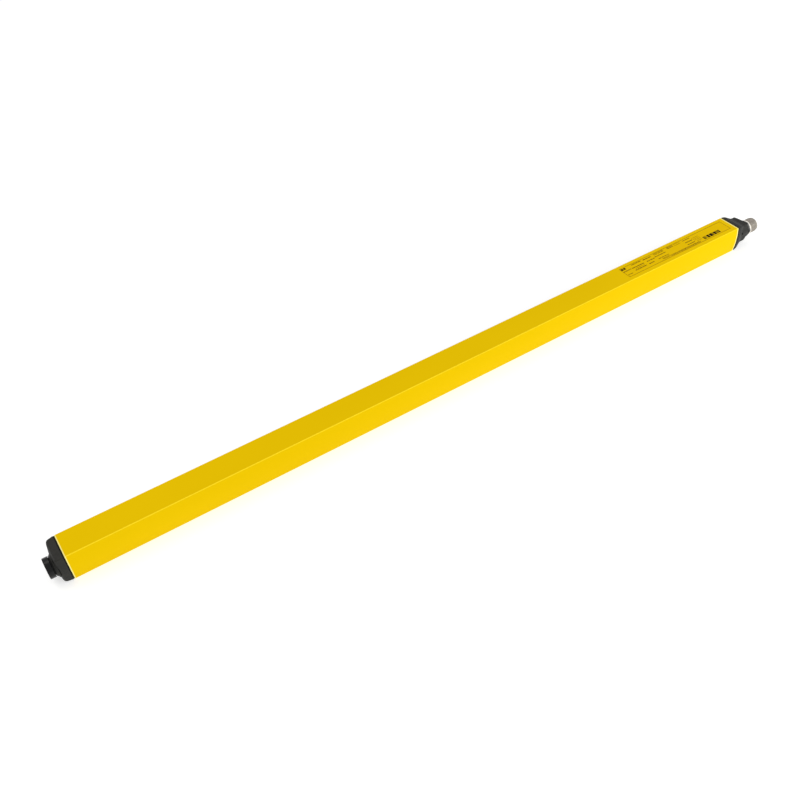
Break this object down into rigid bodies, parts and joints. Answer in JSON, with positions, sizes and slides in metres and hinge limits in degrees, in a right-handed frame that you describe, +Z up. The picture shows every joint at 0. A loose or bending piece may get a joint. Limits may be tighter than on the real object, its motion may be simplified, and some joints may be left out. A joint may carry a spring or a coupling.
{
  "type": "safety light curtain",
  "caption": "Straight light curtain bar: crowned yellow extruded housing, dark front window, black end caps, blanked extension socket and a threaded round connector.",
  "frame": {"origin": "bottom centre of the bounding box, where the bar lies on one flat side", "axes": "+X along the bar towards the connector, +Y from the crowned rear face towards the front window, +Z up out of the label side"},
  "size_m": [1.328, 0.0441, 0.048],
  "materials": {
    "housing_yellow": "satin powder coat",
    "window_dark": "glossy tinted",
    "tape_black": "matte",
    "cap_black": "fine matte texture",
    "gasket_black": "matte",
    "screw_steel": "zinc plated",
    "socket_black": "matte",
    "contact_gold": "bright",
    "plug_black": "semi-gloss moulded",
    "seal_grey": "matte",
    "connector_metal": "nickel plated, satin",
    "insert_black": "matte",
    "washer_light": "matte",
    "nut_black": "matte moulded",
    "board_green": "satin solder mask",
    "chip_black": "matte",
    "header_white": "matte",
    "harness_grey": "matte",
    "spring_steel": "bright",
    "display_smoke": "satin",
    "lens_clear": "clear moulded",
    "carrier_black": "matte",
    "element_clear": "glossy"
  },
  "bodies": {
    "root": {"housing_profile": "housing_yellow", "front_window": "window_dark", "window_tape": "tape_black", "cap_gasket_plain": "gasket_black", "cap_gasket_connector": "gasket_black", "end_cap_plain": "cap_black", "end_cap_connector": "cap_black", "cap_screws_plain": "screw_steel", "cap_screws_connector": "screw_steel", "extension_socket": "socket_black", "extension_contacts": "contact_gold", "blanking_plug": "plug_black", "blanking_plug_seal": "seal_grey", "connector_shell": "connector_metal", "connector_insert": "insert_black", "connector_pins": "contact_gold", "connector_washer": "washer_light", "connector_nut": "nut_black", "control_board": "board_green", "control_chips": "chip_black", "board_header": "header_white", "connector_harness": "harness_grey", "earth_spring": "spring_steel", "status_board": "board_green", "status_display": "display_smoke", "module_links": "header_white", "lens_strip_1": "lens_clear", "optics_carrier_1": "carrier_black", "optics_board_1": "board_green", "optic_elements_1": "element_clear", "lens_strip_2": "lens_clear", "optics_carrier_2": "carrier_black", "optics_board_2": "board_green", "optic_elements_2": "element_clear", "lens_strip_3": "lens_clear", "optics_carrier_3": "carrier_black", "optics_board_3": "board_green", "optic_elements_3": "element_clear", "lens_strip_4": "lens_clear", "optics_carrier_4": "carrier_black", "optics_board_4": "board_green", "optic_elements_4": "element_clear", "lens_strip_5": "lens_clear", "optics_carrier_5": "carrier_black", "optics_board_5": "board_green", "optic_elements_5": "element_clear", "lens_strip_6": "lens_clear", "optics_carrier_6": "carrier_black", "optics_board_6": "board_green", "optic_elements_6": "element_clear", "lens_strip_7": "lens_clear", "optics_carrier_7": "carrier_black", "optics_board_7": "board_green", "optic_elements_7": "element_clear", "lens_strip_8": "lens_clear", "optics_carrier_8": "carrier_black", "optics_board_8": "board_green", "optic_elements_8": "element_clear"}
  },
  "joints": []
}
